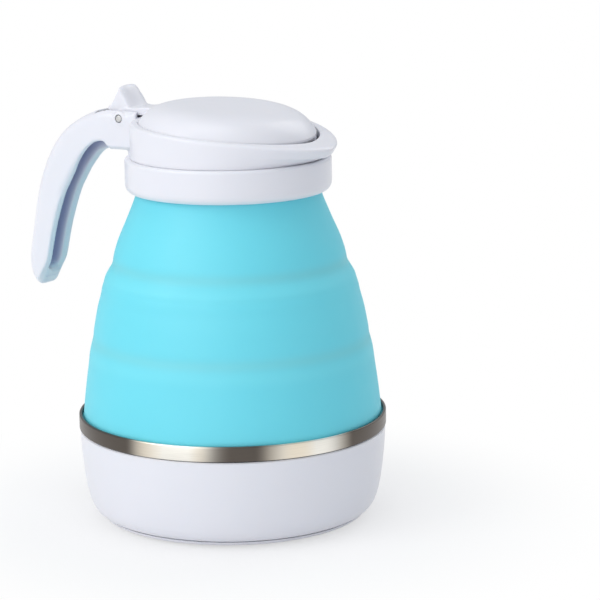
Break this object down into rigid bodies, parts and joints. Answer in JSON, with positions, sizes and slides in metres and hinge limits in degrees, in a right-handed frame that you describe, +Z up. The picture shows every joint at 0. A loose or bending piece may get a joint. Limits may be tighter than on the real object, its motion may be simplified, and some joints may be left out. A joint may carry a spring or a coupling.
{
  "type": "collapsible electric kettle",
  "caption": "Collapsible travel kettle: white base with mains inlet and round rocker switch, folding silicone wall, spouted cap with hinged lid and a grooved handle.",
  "frame": {"origin": "on the kettle's axis, in the plane that the kettle stands on (the flat underside of the bottom cover)", "axes": "+Z up along the kettle's axis, +X towards the spout, -X towards the handle and the mains inlet, +Y towards the switch"},
  "size_m": [0.1581, 0.123, 0.1696],
  "materials": {
    "base_shell": "smooth white plastic, satin",
    "bottom_cover": "smooth white plastic, satin",
    "foot_pad_1": "grey anti-slip rubber",
    "foot_pad_2": "grey anti-slip rubber",
    "foot_pad_3": "grey anti-slip rubber",
    "foot_pad_4": "grey anti-slip rubber",
    "cover_screw_1": "plain stainless steel",
    "cover_screw_2": "plain stainless steel",
    "cover_screw_3": "plain stainless steel",
    "heating_pan": "plain stainless steel",
    "heat_spreader": "cast aluminium, dull",
    "heating_element": "plain stainless steel",
    "element_terminal_1": "plain stainless steel",
    "element_terminal_2": "plain stainless steel",
    "thermostat": "cream heat-proof plastic",
    "thermostat_bracket": "plain stainless steel",
    "bracket_screw_1": "plain stainless steel",
    "bracket_screw_2": "plain stainless steel",
    "thermal_fuse": "cream heat-proof plastic",
    "switch_housing": "black moulded plastic",
    "switch_terminal_1": "plain brass",
    "switch_terminal_2": "plain brass",
    "switch_terminal_3": "plain brass",
    "inlet_housing": "black moulded plastic",
    "inlet_pin_live": "plain brass",
    "inlet_pin_neutral": "plain brass",
    "inlet_pin_earth": "plain brass",
    "wire_live": "brown insulated wire",
    "wire_switched": "brown insulated wire",
    "wire_neutral": "blue insulated wire",
    "wire_return": "blue insulated wire",
    "wire_earth": "green insulated wire",
    "steel_band": "rolled stainless steel, brushed around",
    "silicone_lower_wall": "matt aqua silicone rubber",
    "silicone_fold_wall": "matt aqua silicone rubber",
    "silicone_neck_wall": "matt aqua silicone rubber",
    "neck_collar": "smooth white plastic, satin",
    "neck_sleeve": "smooth white plastic, satin",
    "cap_body": "smooth white plastic, satin",
    "handle_shell": "smooth white plastic, satin",
    "hinge_pin": "plain stainless steel",
    "handle_screw_1": "plain stainless steel",
    "handle_screw_2": "plain stainless steel",
    "lid_shell": "smooth white plastic, satin",
    "lid_liner": "smooth white plastic, satin",
    "switch_rocker": "clear red plastic"
  },
  "bodies": {
    "base": {"base_shell": "base_shell", "bottom_cover": "bottom_cover", "foot_pad_1": "foot_pad_1", "foot_pad_2": "foot_pad_2", "foot_pad_3": "foot_pad_3", "foot_pad_4": "foot_pad_4", "cover_screw_1": "cover_screw_1", "cover_screw_2": "cover_screw_2", "cover_screw_3": "cover_screw_3", "heating_pan": "heating_pan", "heat_spreader": "heat_spreader", "heating_element": "heating_element", "element_terminal_1": "element_terminal_1", "element_terminal_2": "element_terminal_2", "thermostat": "thermostat", "thermostat_bracket": "thermostat_bracket", "bracket_screw_1": "bracket_screw_1", "bracket_screw_2": "bracket_screw_2", "thermal_fuse": "thermal_fuse", "switch_housing": "switch_housing", "switch_terminal_1": "switch_terminal_1", "switch_terminal_2": "switch_terminal_2", "switch_terminal_3": "switch_terminal_3", "inlet_housing": "inlet_housing", "inlet_pin_live": "inlet_pin_live", "inlet_pin_neutral": "inlet_pin_neutral", "inlet_pin_earth": "inlet_pin_earth", "wire_live": "wire_live", "wire_switched": "wire_switched", "wire_neutral": "wire_neutral", "wire_return": "wire_return", "wire_earth": "wire_earth", "steel_band": "steel_band", "silicone_lower_wall": "silicone_lower_wall", "silicone_fold_wall": "silicone_fold_wall"},
    "cap": {"silicone_neck_wall": "silicone_neck_wall", "neck_collar": "neck_collar", "neck_sleeve": "neck_sleeve", "cap_body": "cap_body", "handle_shell": "handle_shell", "hinge_pin": "hinge_pin", "handle_screw_1": "handle_screw_1", "handle_screw_2": "handle_screw_2"},
    "lid": {"lid_shell": "lid_shell", "lid_liner": "lid_liner"},
    "rocker": {"switch_rocker": "switch_rocker"}
  },
  "joints": [
    {"name": "collapse", "type": "slide", "parent": "base", "child": "cap", "axis": [0, 0, 1], "range_m": [-0.061, 0], "deforming": ["silicone_fold_wall"]},
    {"name": "lid_hinge", "type": "hinge", "parent": "cap", "child": "lid", "pos_m": [-0.0455, 0, 0.1573], "axis": [0, -1, 0], "range_deg": [0, 70]},
    {"name": "rocker_pivot", "type": "hinge", "parent": "base", "child": "rocker", "pos_m": [0, 0.0563, 0.017], "axis": [0, 0, -1], "range_deg": [0, 18]}
  ]
}
